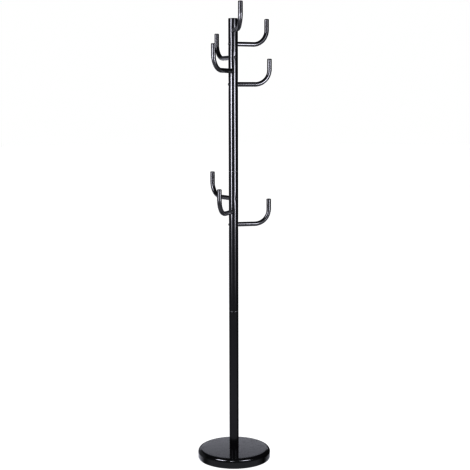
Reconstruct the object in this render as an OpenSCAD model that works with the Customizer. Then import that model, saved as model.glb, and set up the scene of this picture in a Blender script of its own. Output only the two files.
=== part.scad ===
// Standing coat rack: a weighted round base, a pole of three tubes, and eight bent tube hooks,
// each held by a screw that passes through the pole. Millimetres, +Z up. The origin is on the
// floor, under the axis of the pole. Turns are measured from +X, anticlockwise seen from above.

/* [Pole] */
// Outer diameter of the three pole tubes
pole_d = 35; // [33:0.5:37]
// Wall thickness of the pole tubes
pole_wall = 1.2; // [1:0.1:1.6]
// Height of the top of the pole, with its cap
pole_top = 1702; // [1690:1:1720]
// Height of the joint between the lower and the middle tube
lower_joint_z = 588; // [540:1:620]
// Height of the joint between the middle and the upper tube
upper_joint_z = 1130; // [1110:1:1160]
// Radius of the rolled edge at each end of a pole tube
tube_edge_r = 1; // [0.4:0.1:1]

/* [Hooks] */
// Outer diameter of the hook tubes
hook_d = 16.5; // [15:0.5:18]
// Wall thickness of the hook tubes
hook_wall = 1.2; // [1:0.1:1.5]
// Distance from the pole's axis to the axis of a hook's upright tip
hook_reach = 139.5; // [130:0.5:150]
// Bend radius of a hook, to the middle of its tube
hook_bend_r = 55; // [40:1:60]
// Height of a hook's tip above the middle of its arm, with the end cap
hook_rise = 95.5; // [85:0.5:97]
// Height of the highest arm of the upper group
upper_group_z = 1658; // [1650:1:1665]
// Height of the highest arm of the lower group
lower_group_z = 1026; // [1000:1:1060]
// Height step from one hook down to the next
hook_pitch = 50; // [48:1:55]

/* [Hook turns, upper group from the top] */
// Turn of hook 1
hook_1_turn = -79; // [-84:1:-74]
// Turn of hook 2
hook_2_turn = 24; // [19:1:29]
// Turn of hook 3
hook_3_turn = 117; // [112:1:122]
// Turn of hook 4
hook_4_turn = -121; // [-126:1:-116]
// Turn of hook 5
hook_5_turn = 10; // [5:1:15]

/* [Hook turns, lower group from the top] */
// Turn of hook 6
hook_6_turn = 126; // [121:1:131]
// Turn of hook 7
hook_7_turn = -112; // [-117:1:-107]
// Turn of hook 8
hook_8_turn = 13; // [8:1:18]

/* [Base] */
// Outer diameter of the base
base_d = 282; // [270:1:300]
// Height of the base above the floor
base_h = 38; // [36:1:42]
// Radius of the rounded shoulder between the base's top and its side
shoulder_r = 13; // [8:1:14]
// Sheet thickness of the base cover
cover_wall = 1; // [0.8:0.1:1.5]
// Height of the rubber feet, which carry the base clear of the floor
foot_h = 2.5; // [2:0.5:4]
// Diameter of a rubber foot
foot_d = 24; // [16:1:30]
// Distance from the axis to the middle of a foot
foot_ring_r = 112; // [90:1:118]

/* [Hidden] */
$fn = 64;
edge_steps = 8; // straight steps in each rounded edge
hook_count = 8;
upper_group = 5; // hooks in the upper group
overcut = 1; // how far a cutting shape runs past the face it opens
hook_turns = [hook_1_turn, hook_2_turn, hook_3_turn, hook_4_turn,
              hook_5_turn, hook_6_turn, hook_7_turn, hook_8_turn];

pole_r = pole_d / 2;
pole_bore_r = pole_r - pole_wall;
pole_cap_h = 2;
pole_cap_skirt_h = 16;
cap_wall = 1.6;

// steel plugs, pressed and welded into the ends of the pole tubes
plug_h = 22;
stud_d = 10;
stud_h = 15;
thread_gap = 0.1;

hook_bore_r = hook_d / 2 - hook_wall;
hook_cap_h = 3;
hook_cap_edge_r = 2;
hook_cap_skirt_h = 14;
insert_start = 18; // from the pole's axis, just clear of the pole
insert_h = 20;

// M6 button-head screw, and its holes through the pole
screw_d = 6;
screw_h = 50;
screw_hole_d = 6.5;
screw_head_d = 10.5;
screw_head_h = 3.3;
screw_socket_af = 4;
screw_socket_h = 2;

// M10 hexagon bolt that clamps the base to the pole, from below
bolt_d = 10;
bolt_h = 40;
bolt_head_af = 16;
bolt_head_h = 6.4;
bolt_hole_d = 11;
washer_d = 24;
washer_h = 2;
bolt_seat_z = 17;
pocket_d = 34;

base_r = base_d / 2;
weight_gap = 0.5;
plate_h = 1.5;
foot_count = 4;
first_foot_turn = 45;
foot_edge_r = 0.8;

enamel = "#1c1c1f";
moulded = "#232325";
steel = "#8d9096";
black_steel = "#2c2d30";
concrete = "#9c9a94";
rubber = "#141415";

// height of the middle of hook i's arm
function hook_z(i) = i <= upper_group
    ? upper_group_z - (i - 1) * hook_pitch
    : lower_group_z - (i - 1 - upper_group) * hook_pitch;

// points of an arc about [x, y], both ends included
function arc(x, y, r, from, to) =
    [for (k = [0 : edge_steps]) let (a = from + (to - from) * k / edge_steps)
        [x + r * cos(a), y + r * sin(a)]];

// a disc from z = 0 to h, with a rounded upper edge
module round_top_disc(r, h, edge) {
    rotate_extrude()
        polygon(concat([[0, 0], [r, 0]], arc(r - edge, h - edge, edge, 0, 90), [[0, h]]));
}

// a hexagonal prism that is af across its flats
module hexagon(af, h) {
    cylinder(d = af / cos(30), h = h, $fn = 6);
}

// a pole tube between two heights, open at both ends, with rolled outer edges
module pole_tube(z0, z1) {
    rotate_extrude()
        polygon(concat(
            [[pole_bore_r, z0]],
            arc(pole_r - tube_edge_r, z0 + tube_edge_r, tube_edge_r, -90, 0),
            arc(pole_r - tube_edge_r, z1 - tube_edge_r, tube_edge_r, 0, 90),
            [[pole_bore_r, z1]]));
}

// the clearance holes of hooks first to last, right through the pole
module screw_holes(first, last) {
    for (i = [first : last])
        translate([0, 0, hook_z(i)])
            rotate([0, 0, hook_turns[i - 1]])
                rotate([0, 90, 0])
                    cylinder(d = screw_hole_d, h = 2 * pole_d, center = true);
}

// puts a part that is drawn along +X at hook i's place on the pole
module at_hook(i) {
    translate([0, 0, hook_z(i)])
        rotate([0, 0, hook_turns[i - 1]])
            children();
}

// the solid swept by a circle of radius r along a hook's centreline, its upright end at height top
module hook_sweep(r, top) {
    straight = hook_reach - hook_bend_r;
    rotate([0, 90, 0])
        cylinder(r = r, h = straight);
    translate([straight, 0, hook_bend_r])
        rotate([90, 0, 0])
            rotate([0, 0, -90])
                rotate_extrude(angle = 90)
                    translate([hook_bend_r, 0])
                        circle(r = r);
    translate([hook_reach, 0, hook_bend_r])
        cylinder(r = r, h = top - hook_bend_r);
}

// a steel plug for the end of a pole tube, standing on z = 0, with a hole for a thread of diameter d
module threaded_plug(d) {
    difference() {
        cylinder(r = pole_bore_r, h = plug_h);
        translate([0, 0, -overcut])
            cylinder(d = d + 2 * thread_gap, h = plug_h + 2 * overcut);
    }
}

module base_cover() {
    inner_r = shoulder_r - cover_wall;
    inside = base_r - cover_wall;
    color(enamel)
        rotate_extrude()
            polygon(concat(
                [[bolt_hole_d / 2, base_h - cover_wall], [bolt_hole_d / 2, base_h]],
                arc(base_r - shoulder_r, base_h - shoulder_r, shoulder_r, 90, 0),
                [[base_r, foot_h], [inside, foot_h]],
                arc(base_r - shoulder_r, base_h - shoulder_r, inner_r, 0, 90)));
}

module base_weight() {
    r = base_r - cover_wall - weight_gap;
    edge = shoulder_r - cover_wall;
    floor_z = foot_h + plate_h;
    color(concrete)
        difference() {
            translate([0, 0, floor_z])
                round_top_disc(r, base_h - cover_wall - floor_z, edge);
            cylinder(d = bolt_hole_d, h = base_h);
            cylinder(d = pocket_d, h = bolt_seat_z);
        }
}

module base_plate() {
    color(moulded)
        translate([0, 0, foot_h])
            difference() {
                cylinder(r = base_r - cover_wall - weight_gap, h = plate_h);
                translate([0, 0, -overcut])
                    cylinder(d = pocket_d, h = plate_h + 2 * overcut);
            }
}

module foot(i) {
    turn = first_foot_turn + (i - 1) * 360 / foot_count;
    color(rubber)
        rotate([0, 0, turn])
            translate([foot_ring_r, 0, foot_h])
                mirror([0, 0, 1])
                    round_top_disc(foot_d / 2, foot_h, foot_edge_r);
}

module base_bolt() {
    head_z = bolt_seat_z - washer_h - bolt_head_h;
    color(steel) {
        translate([0, 0, head_z])
            hexagon(bolt_head_af, bolt_head_h);
        translate([0, 0, head_z + bolt_head_h])
            cylinder(d = bolt_d, h = bolt_h);
    }
}

module base_washer() {
    color(steel)
        translate([0, 0, bolt_seat_z - washer_h])
            difference() {
                cylinder(d = washer_d, h = washer_h);
                translate([0, 0, -overcut])
                    cylinder(d = bolt_d + 2 * thread_gap, h = washer_h + 2 * overcut);
            }
}

module pole_foot_plug() {
    color(steel)
        translate([0, 0, base_h])
            threaded_plug(bolt_d);
}

module joint_socket(z) {
    color(steel)
        translate([0, 0, z - plug_h])
            threaded_plug(stud_d);
}

module joint_stud(z) {
    color(steel)
        translate([0, 0, z]) {
            cylinder(r = pole_bore_r, h = plug_h);
            translate([0, 0, -stud_h])
                cylinder(d = stud_d, h = stud_h + overcut);
        }
}

module lower_tube() {
    color(enamel)
        pole_tube(base_h, lower_joint_z);
}

module middle_tube() {
    color(enamel)
        difference() {
            pole_tube(lower_joint_z, upper_joint_z);
            screw_holes(upper_group + 1, hook_count);
        }
}

module upper_tube() {
    color(enamel)
        difference() {
            pole_tube(upper_joint_z, pole_top - pole_cap_h);
            screw_holes(1, upper_group);
        }
}

module pole_cap() {
    color(moulded)
        difference() {
            union() {
                translate([0, 0, pole_top - pole_cap_h])
                    round_top_disc(pole_r, pole_cap_h, tube_edge_r);
                translate([0, 0, pole_top - pole_cap_h - pole_cap_skirt_h])
                    cylinder(r = pole_bore_r, h = pole_cap_skirt_h + pole_cap_h / 2);
            }
            translate([0, 0, pole_top - pole_cap_h - pole_cap_skirt_h - overcut])
                cylinder(r = pole_bore_r - cap_wall, h = pole_cap_skirt_h + overcut);
        }
}

module hook(i) {
    color(enamel)
        at_hook(i)
            difference() {
                hook_sweep(hook_d / 2, hook_rise - hook_cap_h);
                hook_sweep(hook_bore_r, hook_rise);
                cylinder(r = pole_r, h = 2 * hook_d, center = true);
            }
}

module hook_insert(i) {
    color(steel)
        at_hook(i)
            translate([insert_start, 0, 0])
                rotate([0, 90, 0])
                    difference() {
                        cylinder(r = hook_bore_r, h = insert_h);
                        translate([0, 0, -overcut])
                            cylinder(d = screw_d + 2 * thread_gap, h = insert_h + 2 * overcut);
                    }
}

module hook_screw(i) {
    dome_r = (pow(screw_head_d / 2, 2) + pow(screw_head_h, 2)) / (2 * screw_head_h);
    color(black_steel)
        at_hook(i)
            translate([-pole_r, 0, 0])
                rotate([0, 90, 0]) {
                    difference() {
                        intersection() {
                            translate([0, 0, dome_r - screw_head_h])
                                sphere(r = dome_r);
                            translate([0, 0, -screw_head_h])
                                cylinder(d = 2 * screw_head_d, h = screw_head_h);
                        }
                        translate([0, 0, -screw_head_h - overcut])
                            hexagon(screw_socket_af, screw_socket_h + overcut);
                    }
                    cylinder(d = screw_d, h = screw_h);
                }
}

module hook_cap(i) {
    color(moulded)
        at_hook(i)
            translate([hook_reach, 0, hook_rise - hook_cap_h])
                difference() {
                    union() {
                        round_top_disc(hook_d / 2, hook_cap_h, hook_cap_edge_r);
                        translate([0, 0, -hook_cap_skirt_h])
                            cylinder(r = hook_bore_r, h = hook_cap_skirt_h + hook_cap_h / 2);
                    }
                    translate([0, 0, -hook_cap_skirt_h - overcut])
                        cylinder(r = hook_bore_r - cap_wall, h = hook_cap_skirt_h + overcut);
                }
}

base_cover();
base_weight();
base_plate();
for (i = [1 : foot_count])
    foot(i);
base_bolt();
base_washer();
pole_foot_plug();
lower_tube();
joint_socket(lower_joint_z);  // lower_joint_socket
joint_stud(lower_joint_z);  // lower_joint_stud
middle_tube();
joint_socket(upper_joint_z);  // upper_joint_socket
joint_stud(upper_joint_z);  // upper_joint_stud
upper_tube();
pole_cap();
for (i = [1 : hook_count]) {
    hook(i);
    hook_insert(i);
    hook_screw(i);
    hook_cap(i);
}
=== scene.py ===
# Looks of a standing coat rack in gloss black enamel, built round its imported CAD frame.
# Metres, +Z up. The camera looks along +Y. The rack's places and sizes come from the frame.
# In order: sizes, meshes, finishes, the rack's pieces, then the floor, camera and light.
import math

import bmesh
import bpy
from mathutils import Matrix, Vector


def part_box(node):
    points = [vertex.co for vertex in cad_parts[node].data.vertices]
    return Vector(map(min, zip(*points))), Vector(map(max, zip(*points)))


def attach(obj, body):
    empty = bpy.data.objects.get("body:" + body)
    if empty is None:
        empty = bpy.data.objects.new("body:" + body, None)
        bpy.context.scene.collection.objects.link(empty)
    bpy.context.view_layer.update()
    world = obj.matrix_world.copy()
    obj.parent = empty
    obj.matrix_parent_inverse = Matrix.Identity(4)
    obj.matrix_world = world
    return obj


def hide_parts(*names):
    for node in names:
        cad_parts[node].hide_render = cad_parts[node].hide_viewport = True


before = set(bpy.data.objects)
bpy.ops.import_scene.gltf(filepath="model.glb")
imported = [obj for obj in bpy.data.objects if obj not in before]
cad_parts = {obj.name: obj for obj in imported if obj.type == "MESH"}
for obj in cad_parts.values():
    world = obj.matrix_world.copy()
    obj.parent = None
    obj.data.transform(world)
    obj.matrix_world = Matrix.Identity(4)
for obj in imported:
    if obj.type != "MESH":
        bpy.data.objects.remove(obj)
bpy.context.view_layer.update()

MM = 0.001
TAU = 2 * math.pi
SHARP_ANGLE = math.radians(40)

# ---------------------------------------------------------------- sizes from the frame


def half_width(node):
    low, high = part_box(node)
    return (high.x - low.x) / 2


def bottom(node):
    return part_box(node)[0].z


def top(node):
    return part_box(node)[1].z


HOOK_COUNT = sum(name.startswith("hook_cap_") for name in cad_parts)
FOOT_COUNT = sum(name.startswith("foot_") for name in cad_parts)
POLE_R = half_width("lower_tube")
HOOK_R = half_width("hook_cap_1")
BASE_R = half_width("base_cover")

# details that the boxes don't give
TUBE_WALL = 1.2 * MM
TUBE_EDGE_R = 1 * MM
HOOK_BEND_R = 55 * MM
SHOULDER_R = 13 * MM
SCREW_R = 3 * MM
SCREW_HOLE_R = 3.25 * MM
SCREW_HEAD_R = 5.25 * MM
SCREW_HEAD_H = 3.3 * MM
SCREW_LENGTH = 50 * MM
BOLT_R = 5 * MM

# the tube walls are drawn in round each tightened screw
DENT_DEPTH = 0.8 * MM
DENT_AROUND = 8 * MM
DENT_ALONG = 15 * MM
DENT_REACH = 3 * DENT_ALONG  # further along than this, a dent is too shallow to matter


class Hook:
    """Where hook number i is: its turn about the pole, its arm's height, its reach and its top."""

    def __init__(self, i):
        cap_low, cap_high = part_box(f"hook_cap_{i}")
        tip = (cap_low + cap_high) / 2
        self.i = i
        self.turn = math.atan2(tip.y, tip.x)
        self.reach = math.hypot(tip.x, tip.y)
        self.z = bottom(f"hook_{i}") + HOOK_R
        self.tube_top = top(f"hook_{i}") - self.z
        self.cap_top = cap_high.z - self.z

    def place(self, away=False):
        """Turns a part drawn along +X to the hook's side of the pole, or to the far side."""
        turn = self.turn + (math.pi if away else 0)
        return Matrix.Translation((0, 0, self.z)) @ Matrix.Rotation(turn, 4, "Z")


HOOKS = [Hook(i) for i in range(1, HOOK_COUNT + 1)]

# ---------------------------------------------------------------- meshes


def circle(radius, z, count):
    """A ring of points about the Z axis, or one point where the radius is nought."""
    if radius == 0:
        return [Vector((0, 0, z))]
    return [Vector((radius * math.cos(TAU * k / count), radius * math.sin(TAU * k / count), z))
            for k in range(count)]


def arc(x, z, radius, start, end, steps):
    """Points (x, z) of an arc about a centre, from one angle to another in degrees."""
    angles = [math.radians(start + (end - start) * k / steps) for k in range(steps + 1)]
    return [(x + radius * math.cos(a), z + radius * math.sin(a)) for a in angles]


def skin(rings, closed=False, worn=()):
    """A mesh whose faces join neighbouring rings of points. A ring of one point closes an end,
    and closed joins the last ring to the first. worn holds the numbers of the rings that lie
    on edges where the finish has rubbed."""
    bm = bmesh.new()
    wear = bm.verts.layers.float.new("wear")
    rows = []
    for number, ring in enumerate(rings):
        rows.append([bm.verts.new(point) for point in ring])
        for vert in rows[-1]:
            vert[wear] = number in worn
    pairs = list(zip(rows, rows[1:]))
    if closed:
        pairs.append((rows[-1], rows[0]))
    for a, b in pairs:
        for k in range(max(len(a), len(b))):
            corners = (a[k % len(a)], a[(k + 1) % len(a)], b[(k + 1) % len(b)], b[k % len(b)])
            bm.faces.new(list(dict.fromkeys(corners)))
    bmesh.ops.recalc_face_normals(bm, faces=bm.faces)
    mesh = bpy.data.meshes.new("mesh")
    bm.to_mesh(mesh)
    bm.free()
    return mesh


def lathe(profile, count, closed=False, worn=()):
    """A mesh turned about the Z axis from a profile of points (radius, height)."""
    return skin([circle(r, z, count) for r, z in profile], closed, worn)


def smooth(mesh):
    mesh.shade_smooth()
    mesh.set_sharp_from_angle(angle=SHARP_ANGLE)


def add_piece(name, mesh, finish, slot, *nodes):
    """Shows the mesh in place of CAD nodes, in a finish. slot, the name of the finish's slot, is not
    used.
    """
    smooth(mesh)
    mesh.name = name
    mesh.materials.clear()
    mesh.materials.append(finish)
    piece = bpy.data.objects.new(name, mesh)
    bpy.context.scene.collection.objects.link(piece)
    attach(piece, "root")
    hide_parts(*nodes)
    return piece


def cut(mesh, cutter):
    """The mesh with the cutter's volume taken out."""
    body = bpy.data.objects.new("body", mesh)
    tool = bpy.data.objects.new("tool", cutter)
    for thing in (body, tool):
        bpy.context.scene.collection.objects.link(thing)
    hole = body.modifiers.new("hole", "BOOLEAN")
    hole.operation = "DIFFERENCE"
    hole.solver = "EXACT"
    hole.object = tool
    bpy.context.view_layer.update()
    made = bpy.data.meshes.new_from_object(body.evaluated_get(bpy.context.evaluated_depsgraph_get()))
    for thing in (body, tool):
        bpy.data.objects.remove(thing)
    return made


def joined(meshes):
    """One mesh of several that don't touch."""
    bm = bmesh.new()
    for mesh in meshes:
        bm.from_mesh(mesh)
    whole = bpy.data.meshes.new("mesh")
    bm.to_mesh(whole)
    bm.free()
    return whole


def thread(radius, pitch, low, high, count):
    """Rings of a screw thread about the Z axis, from one height to another."""
    steps_per_turn = 8
    depth = 0.61 * pitch
    flank = 1.15  # over 1, so that the groove has a flat bottom
    rings = []
    total = int(abs(high - low) / pitch * steps_per_turn)
    for step in range(total + 1):
        z = low + (high - low) * step / total
        ring = []
        for k in range(count):
            phase = (z / pitch - k / count) % 1
            r = radius - depth * min(1, 2 * abs(phase - 0.5) * flank)
            ring.append(Vector((r * math.cos(TAU * k / count), r * math.sin(TAU * k / count), z)))
        rings.append(ring)
    return rings


def hexagon(across_flats, z, count):
    """A ring of points on a hexagon, at equal turns."""
    ring = []
    for k in range(count):
        a = TAU * k / count
        r = across_flats / 2 / math.cos(a % (TAU / 6) - TAU / 12)
        ring.append(Vector((r * math.cos(a), r * math.sin(a), z)))
    return ring


def dent(around, along):
    """How far the pole's wall is drawn in, at a distance around and along it from a hole."""
    return DENT_DEPTH * math.exp(-(around / DENT_AROUND) ** 2 - (along / DENT_ALONG) ** 2)


def pole_radius(turn, z, hooks):
    """The pole's outer radius at a turn and a height, with the dents of these hooks' screws."""
    radius = POLE_R
    for hook in hooks:
        if abs(z - hook.z) > DENT_REACH:
            continue
        for side in (hook.turn, hook.turn + math.pi):
            off = (turn - side + math.pi) % TAU - math.pi
            radius -= dent(off * POLE_R, z - hook.z)
    return radius


def pole_tube(low, high, hooks):
    """A pole tube with rolled ends, dented and drilled where these hooks are screwed on."""
    count, edge_steps, drill_count = 128, 6, 48
    step = 2 * MM if hooks else 10 * MM  # short steps follow the dents
    straight = high - low - 2 * TUBE_EDGE_R
    levels = int(straight / step)
    inside_levels = levels // 2
    # points (offset from the rolled edge's middle, height), up the outside and down the inside
    outside = arc(0, low + TUBE_EDGE_R, TUBE_EDGE_R, -90, 0, edge_steps)[:-1]
    outside += [(TUBE_EDGE_R, low + TUBE_EDGE_R + straight * k / levels) for k in range(levels + 1)]
    outside += arc(0, high - TUBE_EDGE_R, TUBE_EDGE_R, 0, 90, edge_steps)[1:]
    inside = [(TUBE_EDGE_R - TUBE_WALL, high - (high - low) * k / inside_levels)
              for k in range(inside_levels + 1)]
    rings = []
    for offset, z in outside + inside:
        ring = []
        for k in range(count):
            turn = TAU * k / count
            r = pole_radius(turn, z, hooks) - TUBE_EDGE_R + offset
            ring.append(Vector((r * math.cos(turn), r * math.sin(turn), z)))
        rings.append(ring)
    last = len(outside) - 1
    worn = set(range(last - edge_steps + 1, last + 1))
    if low > top("base_cover"):  # the pole's foot, on the base, isn't handled
        worn |= set(range(edge_steps))
    mesh = skin(rings, closed=True, worn=worn)
    if hooks:
        drills = []
        far = 2 * POLE_R
        for hook in hooks:
            drill = lathe([(0, -far), (SCREW_HOLE_R, -far), (SCREW_HOLE_R, far), (0, far)],
                          drill_count)
            drill.transform(hook.place() @ Matrix.Rotation(math.pi / 2, 4, "Y"))
            drills.append(drill)
        mesh = cut(mesh, joined(drills))
    return mesh


def hook_tube(hook):
    """A bent hook tube along +X, its root coped to the dented pole."""
    count = 64
    arm_steps, bend_steps, riser_steps = 14, 40, 6
    flattening = 0.035  # of the tube's height across the bend, as bending leaves it
    blend = 0.15  # share of the bend over which the flattening comes and goes
    tip_edge = 0.3 * MM
    arm_end = hook.reach - HOOK_BEND_R
    stations = []
    for k in range(arm_steps + 1):
        x = POLE_R + (arm_end - POLE_R) * k / arm_steps
        stations.append((Vector((x, 0, 0)), Vector((0, 0, 1)), 1))
    for k in range(1, bend_steps + 1):
        share = k / bend_steps
        a = share * math.pi / 2
        rise = min(share, 1 - share) / blend
        ease = 1 if rise > 1 else rise * rise * (3 - 2 * rise)
        centre = Vector((arm_end + HOOK_BEND_R * math.sin(a), 0, HOOK_BEND_R * (1 - math.cos(a))))
        stations.append((centre, Vector((-math.sin(a), 0, math.cos(a))), 1 - flattening * ease))
    for k in range(1, riser_steps + 1):
        z = HOOK_BEND_R + (hook.tube_top - tip_edge - HOOK_BEND_R) * k / riser_steps
        stations.append((Vector((hook.reach, 0, z)), Vector((-1, 0, 0)), 1))

    def section(centre, up, flat, r):
        return [centre + up * (r * flat * math.cos(TAU * k / count))
                + Vector((0, r * math.sin(TAU * k / count), 0)) for k in range(count)]

    def coped(r):
        ring = section(Vector(), Vector((0, 0, 1)), 1, r)
        for point in ring:
            around = POLE_R * math.asin(point.y / POLE_R)
            pole = POLE_R - dent(around, point.z)
            point.x = math.sqrt(pole * pole - point.y * point.y)
        return ring

    bore = HOOK_R - TUBE_WALL
    rim = Vector((hook.reach, 0, hook.tube_top))
    back = Vector((-1, 0, 0))
    rings = [coped(HOOK_R)]
    rings += [section(*station, HOOK_R) for station in stations[1:]]
    rings.append(section(rim, back, 1, HOOK_R - tip_edge))
    edge = len(rings) - 1
    rings.append(section(rim, back, 1, bore))
    rings += [section(*station, bore) for station in stations[:0:-1]]
    rings.append(coped(bore))
    return skin(rings, closed=True, worn={0, edge - 1, edge})


def end_cap(radius, thickness, edge, bore, skirt):
    """A moulded tube cap whose underside is at z = 0: a rounded disc with a gate mark in its
    middle, and a ribbed skirt that grips the tube's bore."""
    lip = 0.15 * MM
    skirt_wall = 1.6 * MM
    rib = 0.25 * MM
    gate_r, gate_floor_r, gate_deep = 1.2 * MM, 0.96 * MM, 0.3 * MM
    grip = bore - rib
    profile = [(0, thickness - gate_deep), (gate_floor_r, thickness - gate_deep),
               (gate_r, thickness)]
    first_edge = len(profile)
    profile += arc(radius - edge, thickness - edge, edge, 90, 0, 8)
    last_edge = len(profile)
    profile += [(radius, lip), (radius - lip, 0), (grip, 0)]
    ribs = 3  # rings round the skirt that grip the bore
    for k in range(ribs):
        z = -skirt * (k + 0.6) / (ribs + 0.6)
        profile += [(grip, z + 1.2 * MM), (bore, z + 0.4 * MM), (bore, z), (grip, z - 0.8 * MM)]
    profile += [(grip, -skirt + 0.6 * MM), (grip - 0.5 * MM, -skirt), (bore - skirt_wall, -skirt),
                (bore - skirt_wall, 0), (0, 0)]
    return lathe(profile, 64, worn=set(range(first_edge, last_edge)))


def button_screw():
    """A button-head screw along +Z, its head's seat at z = 0 and its shank below."""
    count, dome_steps = 48, 8
    socket, socket_deep = 4 * MM, 2 * MM
    rim_h = 0.35 * MM
    pitch, threaded, lead_in = 1 * MM, 24 * MM, 0.6 * MM
    point_r = 0.7 * SCREW_R
    end = -SCREW_LENGTH
    dome_h = SCREW_HEAD_H - rim_h
    flat_r = socket / 2 / math.cos(TAU / 12) + 0.35 * MM
    dome_r = (SCREW_HEAD_R ** 2 + dome_h ** 2) / (2 * dome_h)
    dome_z = rim_h + dome_h - dome_r
    wide = math.acos(SCREW_HEAD_R / dome_r)
    narrow = math.acos(flat_r / dome_r)
    rings = [circle(0, end, count), circle(point_r, end, count)]
    rings += thread(SCREW_R, pitch, end + lead_in, end + threaded, count)
    rings += [circle(SCREW_R - 0.05 * MM, end + threaded + pitch, count)]
    rings += [circle(SCREW_R, -1 * MM, count), circle(SCREW_R + 0.2 * MM, 0, count),
              circle(SCREW_HEAD_R - 0.15 * MM, 0, count), circle(SCREW_HEAD_R, 0.15 * MM, count)]
    for k in range(dome_steps + 1):
        a = wide + (narrow - wide) * k / dome_steps
        rings.append(circle(dome_r * math.cos(a), dome_z + dome_r * math.sin(a), count))
    head_top = dome_z + dome_r * math.sin(narrow)
    first_worn = len(rings) - 1
    rings += [hexagon(socket + 0.3 * MM, head_top, count),
              hexagon(socket, head_top - 0.15 * MM, count),
              hexagon(socket, head_top - socket_deep, count),
              circle(0, head_top - socket_deep - 0.5 * MM, count)]
    return skin(rings, worn={first_worn, first_worn + 1, first_worn + 2})


def base_cover():
    """The pressed cover of the base: a flat top, a round shoulder, and a rolled lower hem."""
    count, flat_steps, side_steps = 256, 12, 8
    wall, hem_r = 1 * MM, 0.9 * MM
    hole_r = 5.5 * MM
    low, high = bottom("base_cover"), top("base_cover")
    inside = BASE_R - wall
    flat_r = BASE_R - SHOULDER_R
    profile = [(hole_r, high - wall), (hole_r, high)]
    profile += [(hole_r + (flat_r - hole_r) * k / flat_steps, high) for k in range(1, flat_steps)]
    profile += arc(flat_r, high - SHOULDER_R, SHOULDER_R, 90, 0, 24)
    side_h = high - SHOULDER_R - low
    profile += [(BASE_R, low + side_h * k / side_steps) for k in range(side_steps - 1, 1, -1)]
    hem_start = len(profile)
    profile += arc(BASE_R - hem_r, low + hem_r, hem_r, 0, -90, 6)
    profile += arc(BASE_R - hem_r - 0.1 * MM, low + hem_r, hem_r, -90, -180, 4)
    hem_end = len(profile)
    profile += [(inside, low + 3 * hem_r)]
    profile += arc(flat_r, high - SHOULDER_R, SHOULDER_R - wall, 0, 90, 12)
    return lathe(profile, count, closed=True, worn=set(range(hem_start, hem_end)))


def base_plate():
    """The moulded plate under the base, with ring ribs round the bolt's pocket."""
    pocket_r = 17 * MM
    groove, groove_w, draft = 0.6 * MM, 5 * MM, 0.4 * MM
    chamfer = 0.4 * MM
    radius = half_width("base_plate")
    low, high = bottom("base_plate"), top("base_plate")
    profile = [(pocket_r, high), (pocket_r, low + chamfer), (pocket_r + chamfer, low)]
    for ring_r in (30 * MM, 44 * MM, 58 * MM, 72 * MM, 86 * MM):
        profile += [(ring_r, low), (ring_r + draft, low + groove),
                    (ring_r + groove_w - draft, low + groove), (ring_r + groove_w, low)]
    profile += [(radius - chamfer, low), (radius, low + chamfer), (radius, high)]
    return lathe(profile, 128, closed=True)


def foot():
    """A rubber foot about the Z axis, with a dished face and a grip groove underneath."""
    radius = half_width("foot_1")
    low, high = bottom("foot_1"), top("foot_1")
    edge = 0.8 * MM
    dish, dish_floor_r, dish_r = 0.35 * MM, 4.2 * MM, 6 * MM
    groove_start, groove_end, draft = 7.5 * MM, 8.9 * MM, 0.3 * MM
    profile = [(0, low + dish), (dish_floor_r, low + dish), (dish_r, low),
               (groove_start, low), (groove_start + draft, low + dish),
               (groove_end - draft, low + dish), (groove_end, low)]
    profile += arc(radius - edge, low + edge, edge, -90, 0, 6)
    profile += [(radius, high), (0, high)]
    return lathe(profile, 64)


def hexagon_bolt():
    """The bolt that clamps the base to the pole, with a chamfered head and its thread."""
    count = 48
    across, head_h = 16 * MM, 6.4 * MM
    dish_r, dish_edge_r, face_r, dish = 0.36 * across, 0.39 * across, 0.475 * across, 0.2 * MM
    pitch, shank, lead_in = 1.5 * MM, 8 * MM, 0.8 * MM
    tip_r = 0.75 * BOLT_R
    low, high = bottom("base_bolt"), top("base_bolt")
    corner_r = across / 2 / math.cos(TAU / 12)
    chamfer = (corner_r - across / 2) * math.tan(math.radians(30))
    head_top = low + head_h

    def chamfered(z_face, z_corner):
        """A hexagon whose corners are turned down to a cone, as on a forged head."""
        ring = hexagon(across, z_face, count)
        for point in ring:
            share = (point.xy.length - across / 2) / (corner_r - across / 2)
            point.z = z_face + (z_corner - z_face) * share
        return ring

    rings = [circle(0, low + dish, count), circle(dish_r, low + dish, count),
             circle(dish_edge_r, low, count), circle(face_r, low, count),
             chamfered(low + 0.1 * MM, low + 0.1 * MM + chamfer),
             chamfered(head_top, head_top - 0.05 * MM),
             circle(BOLT_R + 0.3 * MM, head_top, count), circle(BOLT_R, head_top + 0.4 * MM, count),
             circle(BOLT_R, head_top + shank, count)]
    rings += thread(BOLT_R, pitch, head_top + shank + 1 * MM, high - lead_in, count)
    rings += [circle(tip_r, high, count), circle(0, high, count)]
    return skin(rings, worn={3, 4, 5})


def washer():
    """The washer under the bolt's head, with edges rounded by stamping."""
    radius, bore_r, edge = half_width("base_washer"), 5.1 * MM, 0.4 * MM
    low, high = bottom("base_washer"), top("base_washer")
    profile = arc(radius - edge, low + edge, edge, -90, 0, 4)
    profile += arc(radius - edge, high - edge, edge, 0, 90, 4)
    rounded = len(profile)
    profile += [(bore_r + edge / 2, high), (bore_r, high - edge / 2),
                (bore_r, low + edge / 2), (bore_r + edge / 2, low)]
    return lathe(profile, 64, closed=True, worn=set(range(rounded)))


# ---------------------------------------------------------------- finishes


def add_node(tree, kind, inputs=None, **settings):
    """Adds a shader node. inputs are values, or sockets to link from."""
    made = tree.nodes.new(kind)
    for key, value in settings.items():
        setattr(made, key, value)
    for key, value in (inputs or {}).items():
        if isinstance(value, bpy.types.NodeSocket):
            tree.links.new(value, made.inputs[key])
        else:
            made.inputs[key].default_value = value
    return made


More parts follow.
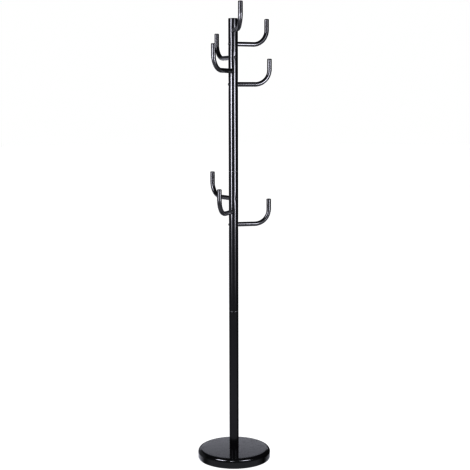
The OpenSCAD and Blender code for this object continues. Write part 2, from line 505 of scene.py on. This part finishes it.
def noise(tree, vector, scale, detail=2, rough=0.5):
    made = add_node(tree, "ShaderNodeTexNoise",
                    {"Vector": vector, "Scale": scale, "Detail": detail, "Roughness": rough})
    return made.outputs[0]


def ranged(tree, value, from_min, from_max, to_min, to_max):
    made = add_node(tree, "ShaderNodeMapRange",
                    {"Value": value, "From Min": from_min, "From Max": from_max,
                     "To Min": to_min, "To Max": to_max})
    return made.outputs[0]


def mixed(tree, share, a, b):
    """A colour between a and b."""
    made = add_node(tree, "ShaderNodeMix", {0: share, 6: a, 7: b}, data_type="RGBA")
    return made.outputs[2]


def maths(tree, operation, a, b):
    return add_node(tree, "ShaderNodeMath", {0: a, 1: b}, operation=operation).outputs[0]


def grey(value, tint=(1, 1, 1)):
    return (value * tint[0], value * tint[1], value * tint[2], 1)


def new_finish(name, metallic=0, ior=1.5):
    """A material with one shader, its tree, and its textures' coordinates in the frame."""
    finish = bpy.data.materials.new(name)
    finish.use_nodes = True
    tree = finish.node_tree
    shader = next(n for n in tree.nodes if n.type == "BSDF_PRINCIPLED")
    shader.inputs["Metallic"].default_value = metallic
    shader.inputs["IOR"].default_value = ior
    place = add_node(tree, "ShaderNodeTexCoord").outputs["Object"]
    return finish, tree, shader, place


def connect(tree, shader, colour, roughness, height, depth):
    """Links colour, roughness and a bump of that depth in metres to a material's shader."""
    tree.links.new(colour, shader.inputs["Base Color"])
    tree.links.new(roughness, shader.inputs["Roughness"])
    bump = add_node(tree, "ShaderNodeBump", {"Height": height, "Strength": 1, "Distance": depth})
    tree.links.new(bump.outputs[0], shader.inputs["Normal"])


def worn_edges(tree, place, scale):
    """A patchy mask along the edges that the mesh marks as worn."""
    edge = add_node(tree, "ShaderNodeAttribute", attribute_name="wear").outputs["Fac"]
    patches = ranged(tree, noise(tree, place, scale, 4, 0.6), 0.45, 0.62, 0, 1)
    return maths(tree, "MULTIPLY", edge, patches)


def enamel(name, rough, peel, ior=1.6, bare=False):
    """Gloss black stove enamel: slight orange peel, faint handling marks, and rubbed edges.
    Where it is bare, the edges are rubbed down to the steel."""
    finish, tree, shader, place = new_finish(name, ior=ior)
    worn = worn_edges(tree, place, 260)
    cloud = noise(tree, place, 22, 3)
    tone = mixed(tree, cloud, grey(0.004, (1, 1, 1.2)), grey(0.008, (1, 1, 1.15)))
    if bare:
        colour = mixed(tree, worn, tone, grey(0.55))
        tree.links.new(worn, shader.inputs["Metallic"])
    else:
        colour = mixed(tree, maths(tree, "MULTIPLY", worn, 0.5), tone, grey(0.06))
    smudge = ranged(tree, noise(tree, place, 45, 5, 0.65), 0.5, 0.75, 0, 0.05)
    specks = add_node(tree, "ShaderNodeTexVoronoi", {"Vector": place, "Scale": 420},
                      feature="F1").outputs["Distance"]
    dust = ranged(tree, specks, 0.05, 0.12, 0.1, 0)
    marks = maths(tree, "ADD", maths(tree, "ADD", smudge, dust),
                  maths(tree, "MULTIPLY", worn, 0.25))
    roughness = maths(tree, "ADD", marks, rough)
    ripple = maths(tree, "ADD", noise(tree, place, 330, 1),
                   maths(tree, "MULTIPLY", noise(tree, place, 90, 1), 2))
    connect(tree, shader, colour, roughness, ripple, peel)
    return finish


def moulded_plastic(name, level, rough, grain, depth):
    """Black moulded plastic, finely grained, with a faint bloom and scuffed edges."""
    finish, tree, shader, place = new_finish(name)
    worn = worn_edges(tree, place, 400)
    bloom = noise(tree, place, 60, 4)
    tone = mixed(tree, bloom, grey(level * 0.7), grey(level * 1.3))
    colour = mixed(tree, maths(tree, "MULTIPLY", worn, 0.6), tone, grey(level * 4))
    fine = noise(tree, place, grain, 3, 0.6)
    roughness = maths(tree, "ADD", ranged(tree, fine, 0.3, 0.7, rough - 0.06, rough + 0.06),
                      maths(tree, "MULTIPLY", worn, 0.15))
    connect(tree, shader, colour, roughness, fine, depth)
    return finish


def black_screw():
    """A blackened steel screw, rubbed to a dull grey at its socket."""
    finish, tree, shader, place = new_finish("black_screw", ior=1.6)
    worn = worn_edges(tree, place, 900)
    grain = noise(tree, place, 700, 4, 0.6)
    tone = mixed(tree, grain, grey(0.006), grey(0.014))
    colour = mixed(tree, maths(tree, "MULTIPLY", worn, 0.7), tone, grey(0.12))
    roughness = ranged(tree, grain, 0.3, 0.7, 0.22, 0.38)
    connect(tree, shader, colour, roughness, grain, 0.012 * MM)
    return finish


def turned_steel(name, level, rough, tint):
    """Bright steel with fine tool marks round it, stains and a slightly uneven plating."""
    finish, tree, shader, place = new_finish(name, metallic=1)
    squeezed = add_node(tree, "ShaderNodeMapping", {"Vector": place, "Scale": (1, 1, 14)})
    lines = noise(tree, squeezed.outputs[0], 160, 4, 0.7)
    stain = noise(tree, place, 120, 5, 0.6)
    tone = mixed(tree, stain, grey(level * 0.82, tint), grey(level, tint))
    colour = mixed(tree, ranged(tree, lines, 0.35, 0.65, 0, 0.3), tone, grey(level * 0.6, tint))
    roughness = maths(tree, "ADD", ranged(tree, stain, 0.35, 0.7, rough - 0.08, rough + 0.1),
                      ranged(tree, lines, 0.35, 0.65, 0, 0.08))
    connect(tree, shader, colour, roughness, lines, 0.02 * MM)
    return finish


def concrete():
    """Cast concrete: cement paste, sand grains, pale and dark stones, and open air bubbles."""
    finish, tree, shader, place = new_finish("concrete")
    paste = noise(tree, place, 30, 6, 0.65)
    tone = mixed(tree, paste, grey(0.22, (1, 0.98, 0.94)), grey(0.42, (1, 0.98, 0.93)))
    stones = add_node(tree, "ShaderNodeTexVoronoi", {"Vector": place, "Scale": 140}, feature="F1")
    stone = ranged(tree, stones.outputs["Distance"], 0.25, 0.32, 1, 0)
    kind = ranged(tree, stones.outputs["Color"], 0.3, 0.7, 0, 1)
    stone_tone = mixed(tree, kind, grey(0.12), grey(0.5, (1, 0.95, 0.88)))
    colour = mixed(tree, maths(tree, "MULTIPLY", stone, 0.55), tone, stone_tone)
    bubbles = add_node(tree, "ShaderNodeTexVoronoi", {"Vector": place, "Scale": 260}, feature="F1")
    pits = ranged(tree, bubbles.outputs["Distance"], 0.08, 0.2, 0, 1)
    grit = noise(tree, place, 900, 3, 0.7)
    height = maths(tree, "ADD", pits, maths(tree, "MULTIPLY", grit, 0.4))
    roughness = ranged(tree, grit, 0.3, 0.7, 0.82, 0.96)
    connect(tree, shader, colour, roughness, height, 0.25 * MM)
    return finish


def rubber():
    """Moulded black rubber, dull, with a dusty bloom where it has stood on the floor."""
    finish, tree, shader, place = new_finish("foot_rubber")
    dust = ranged(tree, noise(tree, place, 150, 5, 0.7), 0.5, 0.72, 0, 0.6)
    colour = mixed(tree, dust, grey(0.012), grey(0.05, (1, 0.97, 0.92)))
    grain = noise(tree, place, 1300, 3, 0.6)
    roughness = ranged(tree, grain, 0.3, 0.7, 0.68, 0.86)
    connect(tree, shader, colour, roughness, grain, 0.04 * MM)
    return finish


POLE_ENAMEL = enamel("pole_enamel", rough=0.15, peel=0.004 * MM, bare=True)
HOOK_ENAMEL = enamel("hook_enamel", rough=0.15, peel=0.004 * MM, ior=1.7)
BASE_ENAMEL = enamel("base_enamel", rough=0.12, peel=0.003 * MM)
CAP_PLASTIC = moulded_plastic("cap_plastic", level=0.008, rough=0.26, grain=1500, depth=0.01 * MM)
PLATE_PLASTIC = moulded_plastic("base_plate_plastic", level=0.014, rough=0.5, grain=700,
                                depth=0.03 * MM)
BLACK_SCREW = black_screw()
PLUG_STEEL = turned_steel("plug_steel", 0.5, 0.34, (1, 0.99, 0.97))
ZINC_STEEL = turned_steel("zinc_steel", 0.62, 0.3, (0.96, 0.99, 1))
CONCRETE = concrete()
FOOT_RUBBER = rubber()

# ---------------------------------------------------------------- the rack

add_piece("vis_base_cover", base_cover(), BASE_ENAMEL, "base_enamel", "base_cover")
add_piece("vis_base_plate", base_plate(), PLATE_PLASTIC, "base_plate_plastic", "base_plate")
add_piece("vis_base_bolt", hexagon_bolt(), ZINC_STEEL, "zinc_steel", "base_bolt")
add_piece("vis_base_washer", washer(), ZINC_STEEL, "zinc_steel", "base_washer")

for i in range(1, FOOT_COUNT + 1):
    low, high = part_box(f"foot_{i}")
    mesh = foot()
    mesh.transform(Matrix.Translation(((low.x + high.x) / 2, (low.y + high.y) / 2, 0)))
    add_piece(f"vis_foot_{i}", mesh, FOOT_RUBBER, "foot_rubber", f"foot_{i}")

for node in ("lower_tube", "middle_tube", "upper_tube"):
    low, high = bottom(node), top(node)
    held = [hook for hook in HOOKS if low < hook.z < high]
    add_piece(f"vis_{node}", pole_tube(low, high, held), POLE_ENAMEL, "pole_enamel", node)

cap_bottom = top("upper_tube")
mesh = end_cap(POLE_R, top("pole_cap") - cap_bottom, TUBE_EDGE_R, POLE_R - TUBE_WALL,
               cap_bottom - bottom("pole_cap"))
mesh.transform(Matrix.Translation((0, 0, cap_bottom)))
add_piece("vis_pole_cap", mesh, CAP_PLASTIC, "cap_plastic", "pole_cap")

for hook in HOOKS:
    i = hook.i
    mesh = hook_tube(hook)
    mesh.transform(hook.place())
    add_piece(f"vis_hook_{i}", mesh, HOOK_ENAMEL, "hook_enamel", f"hook_{i}")

    cap_h = hook.cap_top - hook.tube_top
    skirt = hook.z + hook.tube_top - bottom(f"hook_cap_{i}")
    mesh = end_cap(HOOK_R, cap_h, 2 * MM, HOOK_R - TUBE_WALL, skirt)
    mesh.transform(hook.place() @ Matrix.Translation((hook.reach, 0, hook.tube_top)))
    add_piece(f"vis_hook_cap_{i}", mesh, CAP_PLASTIC, "cap_plastic", f"hook_cap_{i}")

    mesh = button_screw()
    seat = POLE_R - DENT_DEPTH
    mesh.transform(hook.place(away=True) @ Matrix.Translation((seat, 0, 0))
                   @ Matrix.Rotation(math.pi / 2, 4, "Y"))
    add_piece(f"vis_hook_screw_{i}", mesh, BLACK_SCREW, "black_screw", f"hook_screw_{i}")

carried_over = {"base_weight": CONCRETE, "pole_foot_plug": PLUG_STEEL}
for level in ("lower", "upper"):
    carried_over[f"{level}_joint_socket"] = PLUG_STEEL
    carried_over[f"{level}_joint_stud"] = PLUG_STEEL
for hook in HOOKS:
    carried_over[f"hook_insert_{hook.i}"] = PLUG_STEEL
for node, finish in carried_over.items():
    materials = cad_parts[node].data.materials
    materials.clear()
    materials.append(finish)

# ---------------------------------------------------------------- floor, camera and light

scene = bpy.context.scene
scene.view_settings.view_transform = "Standard"
scene.view_settings.gamma = 0.55  # the deep blacks and hard contrast of a catalogue print


def studio_floor():
    """A plain pale floor, wide enough to reach past the camera's view. Its own glow makes it
    as white as the world behind it."""
    reach, glow = 30, 0.96
    finish, tree, shader, place = new_finish("studio_floor")
    tone = mixed(tree, noise(tree, place, 3, 3), grey(0.03), grey(0.036))
    roughness = ranged(tree, noise(tree, place, 9, 3), 0.3, 0.7, 0.85, 0.95)
    connect(tree, shader, tone, roughness, noise(tree, place, 40, 2), 0.05 * MM)
    shader.inputs["Emission Color"].default_value = grey(1)
    shader.inputs["Emission Strength"].default_value = glow
    mesh = lathe([(0, 0), (reach, 0)], 64)
    floor = bpy.data.objects.new("studio_floor", mesh)
    mesh.materials.append(finish)
    scene.collection.objects.link(floor)
    floor.visible_glossy = False


def camera():
    """The view: from a little below the top of the rack, tipped down towards its middle."""
    distance, height = 3.8621, 1.3897
    tipped_down, rolled = math.radians(7.446), math.radians(0.15)
    data = bpy.data.cameras.new("camera")
    data.sensor_width, data.lens = 36, 77.58
    data.shift_x = 0.00375  # with the roll, this centres a pole that leans a little in the photo
    view = bpy.data.objects.new("camera", data)
    view.location = (0, -distance, height)
    view.rotation_euler = (math.pi / 2 - tipped_down, rolled, 0)
    scene.collection.objects.link(view)
    scene.camera = view


def softbox(name, bands, receivers=None):
    """An upright softbox that faces the pole, in bands of (low, high, start, end, level).
    low and high are heights in metres. start and end are turns to the right from the camera's
    direction, in degrees. It lights one collection only, or else everything, but for the bands
    up to flag_top, which are flagged off the base."""
    distance, flag_top = 1.5, 0.9
    cool_white = (0.93, 0.93, 1)
    power = 4  # watts for each square metre of a band at a level of 1
    for number, (low, high, start, end, level) in enumerate(bands, 1):
        data = bpy.data.lights.new(f"{name}_{number}", "AREA")
        data.shape = "RECTANGLE"
        data.size = 2 * distance * math.tan(math.radians(end - start) / 2)
        data.size_y = high - low
        data.energy = level * power * data.size * data.size_y
        data.color = cool_white
        box = bpy.data.objects.new(data.name, data)
        turn = math.radians((start + end) / 2)
        box.location = (distance * math.sin(turn), -distance * math.cos(turn), (low + high) / 2)
        towards = Vector((-math.sin(turn), math.cos(turn), 0))
        box.rotation_euler = towards.to_track_quat("-Z", "Y").to_euler()
        box.visible_camera = False
        if receivers:
            box.light_linking.receiver_collection = receivers
        elif high <= flag_top:
            box.light_linking.receiver_collection = OFF_BASE
        scene.collection.objects.link(box)


def ramp(tree, value, stops):
    """A level that follows stops of (value, level), for values from -1 to 1."""
    share = ranged(tree, value, -1, 1, 0, 1)
    made = add_node(tree, "ShaderNodeValToRGB", {"Fac": share})
    elements = made.color_ramp.elements
    while len(elements) < len(stops):
        elements.new(0.5)
    for element, (at, level) in zip(elements, stops):
        element.position = (at + 1) / 2
    for element, (at, level) in zip(elements, stops):
        element.color = grey(level)
    return made.outputs["Color"]


def facing(tree, towards, turn, start, full):
    """A patch of the world round a level direction, turned to the right from the camera's
    direction by an angle in degrees. It starts, and is full, at these cosines of the angle
    off that direction."""
    a = math.radians(turn)
    cosine = add_node(tree, "ShaderNodeVectorMath",
                      {0: towards, 1: (math.sin(a), -math.cos(a), 0)}, operation="DOT_PRODUCT")
    return ranged(tree, cosine.outputs["Value"], start, full, 0, 1)


def studio_world():
    """White where the camera looks past the rack. Gloss sees a dark room with a white card and
    a panel behind, a white floor, and a dim fill in front. The rest gets a white fill."""
    world = bpy.data.worlds.new("studio")
    scene.world = world
    world.use_nodes = True
    tree = world.node_tree
    tree.nodes.clear()
    towards = add_node(tree, "ShaderNodeTexCoord").outputs["Generated"]
    parts = add_node(tree, "ShaderNodeSeparateXYZ", {"Vector": towards})
    back, up = parts.outputs["Y"], parts.outputs["Z"]
    # a white card that the base's top reflects, brightest at the top's far edge
    card_levels = ((-1, 0.1), (0.12, 0.1), (0.29, 1.2), (0.316, 3.4),
                   (0.325, 1.7), (0.333, 1.3), (0.345, 1), (0.42, 0.1))
    backdrop = maths(tree, "MULTIPLY", ranged(tree, back, 0.86, 0.93, 0, 1),
                     ramp(tree, up, card_levels))
    # the floor on the camera's side, which the lower pole and the base's side reflect
    floor_levels = ((-0.45, 0.9), (-0.345, 1.4), (-0.315, 0.8), (-0.29, 1.5),
                    (-0.23, 0.7), (-0.12, 0.45), (0, 0.1))
    front_floor = maths(tree, "MULTIPLY", ranged(tree, back, 0.3, -0.2, 0, 1),
                        ramp(tree, up, floor_levels))
    # the floor behind, which shows at the two ends of the base's side
    far_levels = ((-0.5, 0), (-0.42, 2), (-0.355, 2), (-0.325, 0))
    far_floor = maths(tree, "MULTIPLY", ranged(tree, back, 0.35, 0.6, 0, 1),
                      ramp(tree, up, far_levels))
    near_floor = ramp(tree, up, ((-0.6, 1), (-0.45, 0)))
    front_fill = ranged(tree, back, 0.1, -0.5, 0, 0.25)
    panel = maths(tree, "MULTIPLY", facing(tree, towards, -135, 0.78, 0.9), 0.6)
    gloss = 0.03  # the dark room
    for part in (backdrop, front_floor, far_floor, near_floor, front_fill, panel):
        gloss = maths(tree, "ADD", part, gloss)
    cool = add_node(tree, "ShaderNodeMix", {0: 1, 6: gloss, 7: grey(1, (0.92, 0.93, 1))},
                    data_type="RGBA", blend_type="MULTIPLY").outputs[2]
    path = add_node(tree, "ShaderNodeLightPath")
    white_fill = grey(1.2)
    level = mixed(tree, path.outputs["Is Glossy Ray"], white_fill, cool)
    level = mixed(tree, path.outputs["Is Camera Ray"], level, grey(1))
    shade = add_node(tree, "ShaderNodeBackground", {"Color": level, "Strength": 1})
    out = add_node(tree, "ShaderNodeOutputWorld")
    tree.links.new(shade.outputs[0], out.inputs["Surface"])


def receiver_group(name, pieces, link_state="INCLUDE"):
    """A collection for light linking, whose pieces a light falls on or is kept off."""
    group = bpy.data.collections.new(name)
    for piece in pieces:
        group.objects.link(bpy.data.objects[piece])
    for member in group.collection_objects:
        member.light_linking.link_state = link_state
    return group


OFF_BASE = receiver_group("flagged_from_low_light", ["vis_base_cover"], "EXCLUDE")
BASE_ONLY = receiver_group("base_only", ["vis_base_cover"])
HOOKS_ONLY = receiver_group("hooks_only", [f"vis_hook_{hook.i}" for hook in HOOKS])

studio_floor()
camera()
studio_world()
softbox("left_softbox", ((0.4, 0.6, -64, -36, 1.7), (0.6, 0.75, -64, -36, 3.6),
                         (0.75, 0.9, -64, -36, 10), (0.9, 1.15, -63, -37, 14),
                         (1.15, 1.35, -64, -36, 16), (1.35, 1.6, -67, -33, 17),
                         (1.6, 1.75, -67, -33, 13), (1.75, 2.3, -71, -31, 10.5)))
softbox("right_softbox", ((0.4, 0.6, 29, 56, 2.2), (0.6, 0.75, 29, 56, 4),
                          (0.75, 0.9, 29, 57, 12), (0.9, 1.3, 28, 57, 15),
                          (1.3, 1.6, 20, 56, 13.5), (1.6, 1.75, 21, 56, 9),
                          (1.75, 2.3, 22, 56, 5)))
softbox("left_panel", ((0.3, 0.8, -140, -100, 1.6), (1.05, 1.45, -140, -100, 1.8)), HOOKS_ONLY)
softbox("right_panel", ((0.3, 0.8, 105, 150, 1.6), (1.05, 1.45, 100, 145, 1.3)), HOOKS_ONLY)
softbox("shoulder_lamp", ((0.8, 1.35, -13, -3, 15),), BASE_ONLY)
